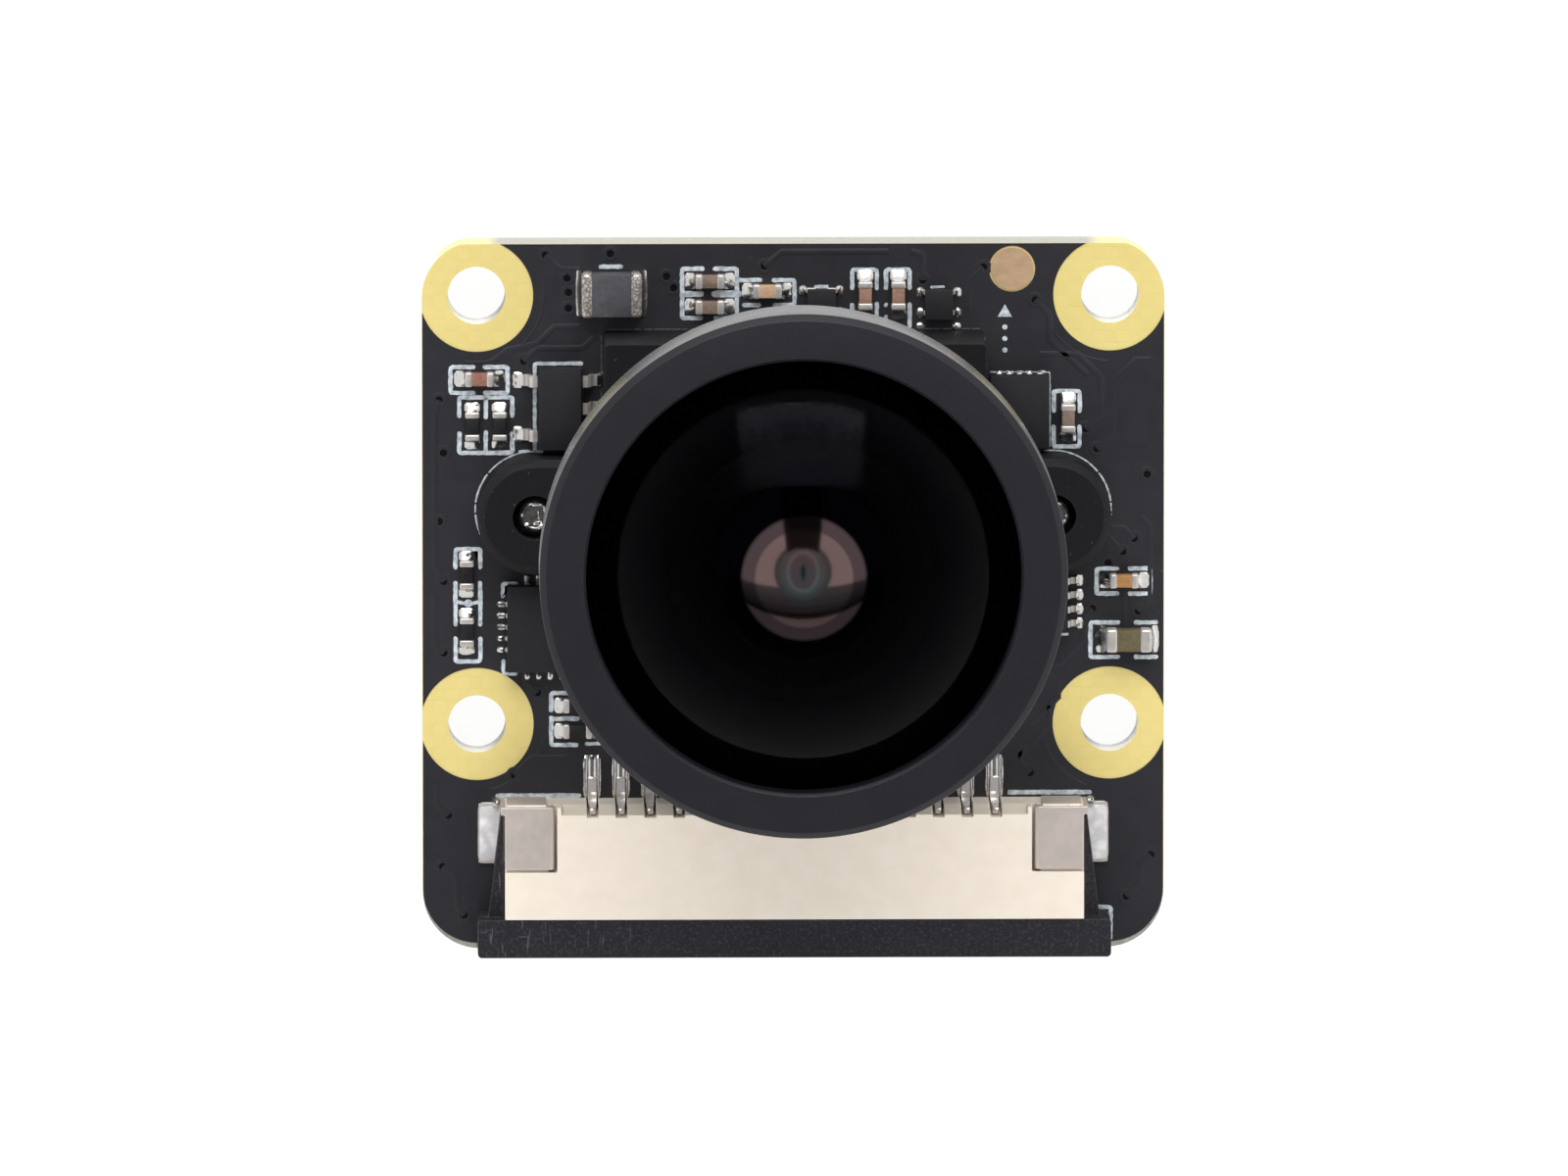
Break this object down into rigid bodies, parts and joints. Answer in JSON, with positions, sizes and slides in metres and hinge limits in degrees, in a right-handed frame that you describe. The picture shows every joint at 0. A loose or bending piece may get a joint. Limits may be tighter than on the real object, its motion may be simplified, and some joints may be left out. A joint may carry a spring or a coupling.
{
  "type": "camera module",
  "caption": "Square camera board with a domed wide-angle lens screwed into a moulded holder, corner mounting holes and a sliding-lock ribbon cable connector.",
  "frame": {"origin": "lens axis, on the board's back face, which is also the centre of the four mounting holes", "axes": "+Z along the lens axis out through the front glass, -Y towards the cable connector, +X to the right when looking into the lens with the connector below"},
  "size_m": [0.0258, 0.0248, 0.0235],
  "materials": {
    "board_mask": "satin black solder mask on glass-fibre board",
    "copper": "bare copper, lightly toned",
    "holder_plastic": "moulded, fine matt",
    "screw_steel": "plated",
    "sensor_package": "satin",
    "clear_glass": "polished",
    "filter_glass": "polished, pale blue",
    "cream_plastic": "moulded nylon, satin",
    "tinned_metal": "tin plated",
    "plate_metal": "tin plated, dull",
    "ferrite": "matt, with tinned ends",
    "chip_epoxy": "moulded epoxy, matt, with tinned leads",
    "capacitor_ceramic": "fired ceramic with tinned ends",
    "resistor_body": "black glaze with tinned ends",
    "anodised_barrel": "black anodised, satin",
    "anodised_ring": "black anodised, bead blasted",
    "inner_black": "black anodised, matt",
    "lens_glass": "polished and coated",
    "black_plastic": "moulded, satin"
  },
  "bodies": {
    "module": {"circuit_board": "board_mask", "copper_pad": "copper", "lens_holder": "holder_plastic", "holder_screws": "screw_steel", "image_sensor": "sensor_package", "sensor_glass": "clear_glass", "infrared_filter": "filter_glass", "connector_housing": "cream_plastic", "connector_contacts": "tinned_metal", "hold_down_left": "plate_metal", "hold_down_right": "plate_metal", "power_inductor": "ferrite", "voltage_regulator": "chip_epoxy", "power_chip": "chip_epoxy", "logic_chip": "chip_epoxy", "memory_chip": "chip_epoxy", "oscillator": "chip_epoxy", "switch_chip": "chip_epoxy", "capacitor_1": "capacitor_ceramic", "capacitor_2": "capacitor_ceramic", "capacitor_3": "capacitor_ceramic", "capacitor_4": "capacitor_ceramic", "capacitor_5": "capacitor_ceramic", "capacitor_6": "capacitor_ceramic", "capacitor_7": "capacitor_ceramic", "capacitor_8": "capacitor_ceramic", "large_capacitor": "capacitor_ceramic", "resistor_1": "resistor_body", "resistor_2": "resistor_body", "resistor_3": "resistor_body", "resistor_4": "resistor_body", "resistor_5": "resistor_body", "resistor_6": "resistor_body"},
    "lens_glass": {"front_glass": "lens_glass", "second_glass": "lens_glass", "third_glass": "lens_glass", "rear_glass": "lens_glass"},
    "lens_barrel": {"lens_barrel": "anodised_barrel", "front_ring": "anodised_ring", "front_spacer": "inner_black", "aperture_stop": "inner_black", "rear_retainer": "inner_black"},
    "cable_lock": {"connector_slider": "black_plastic"}
  },
  "joints": [
    {"name": "focus_travel", "type": "slide", "parent": "module", "child": "lens_glass", "axis": [0, 0, 1], "range_m": [-0.0005, 0.0005]},
    {"name": "focus_turn", "type": "hinge", "parent": "lens_glass", "child": "lens_barrel", "pos_m": [0, 0, 0.0206], "axis": [0, 0, 1], "range_deg": [-360, 360]},
    {"name": "lock_slide", "type": "slide", "parent": "module", "child": "cable_lock", "axis": [0, -1, 0], "range_m": [0, 0.0012]}
  ],
  "couplings": [
    {"joint": "focus_turn", "follows": "focus_travel", "rad_per_m": 12566}
  ]
}
